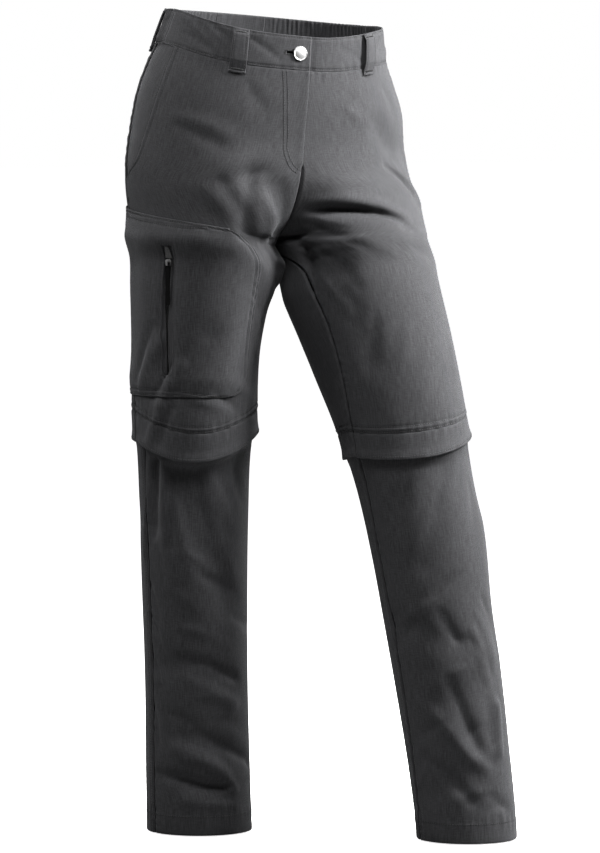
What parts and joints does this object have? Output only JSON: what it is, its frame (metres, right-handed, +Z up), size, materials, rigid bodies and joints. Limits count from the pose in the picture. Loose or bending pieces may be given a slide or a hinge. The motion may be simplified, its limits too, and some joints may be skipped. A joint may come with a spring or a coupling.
{
  "type": "hiking trousers",
  "caption": "Zip-off hiking trousers in worn form: knee zips under cover flaps, zipped cargo pocket, slant pockets, belt loops and a waistband with gathered elastic at the back.",
  "frame": {"origin": "middle of the waist opening, level with the mean height of its top edge", "axes": "+Z up, -Y towards the front, +X towards the wearer's left leg"},
  "size_m": [0.418, 0.3945, 1.0227],
  "materials": {
    "charcoal_cloth": "matt woven cloth",
    "black_tape": "woven zip tape and coil",
    "silver_metal": "satin silver",
    "black_pull": "soft matt"
  },
  "bodies": {
    "trousers": {"shorts_front_right": "charcoal_cloth", "shorts_back_right": "charcoal_cloth", "shorts_front_left": "charcoal_cloth", "shorts_back_left": "charcoal_cloth", "pocket_facing_right": "charcoal_cloth", "pocket_facing_left": "charcoal_cloth", "fly_shield": "charcoal_cloth", "waistband_front_right": "charcoal_cloth", "waistband_front_left": "charcoal_cloth", "waistband_elastic_right": "charcoal_cloth", "waistband_elastic_left": "charcoal_cloth", "waistband_back": "charcoal_cloth", "belt_loop_front_right": "charcoal_cloth", "belt_loop_side_right": "charcoal_cloth", "belt_loop_front_left": "charcoal_cloth", "belt_loop_side_left": "charcoal_cloth", "belt_loop_back": "charcoal_cloth", "waist_button": "silver_metal", "cargo_pocket": "charcoal_cloth", "cargo_zip_tape": "black_tape", "cargo_zip_lip_front": "charcoal_cloth", "cargo_zip_lip_back": "charcoal_cloth", "cargo_zip_guard": "charcoal_cloth", "cargo_zip_slider": "silver_metal", "flap_front_right": "charcoal_cloth", "flap_back_right": "charcoal_cloth", "leg_zip_right": "black_tape", "flap_front_left": "charcoal_cloth", "flap_back_left": "charcoal_cloth", "leg_zip_left": "black_tape", "lower_leg_front_right": "charcoal_cloth", "lower_leg_back_right": "charcoal_cloth", "lower_leg_front_left": "charcoal_cloth", "lower_leg_back_left": "charcoal_cloth"},
    "zip_pull": {"cargo_zip_pull": "black_pull"}
  },
  "joints": [
    {"name": "zip_pull_hinge", "type": "hinge", "parent": "trousers", "child": "zip_pull", "pos_m": [-0.17023, -0.0466, -0.29229], "axis": [-0.4906, 0.8714, 0], "range_deg": [0, 150]}
  ]
}
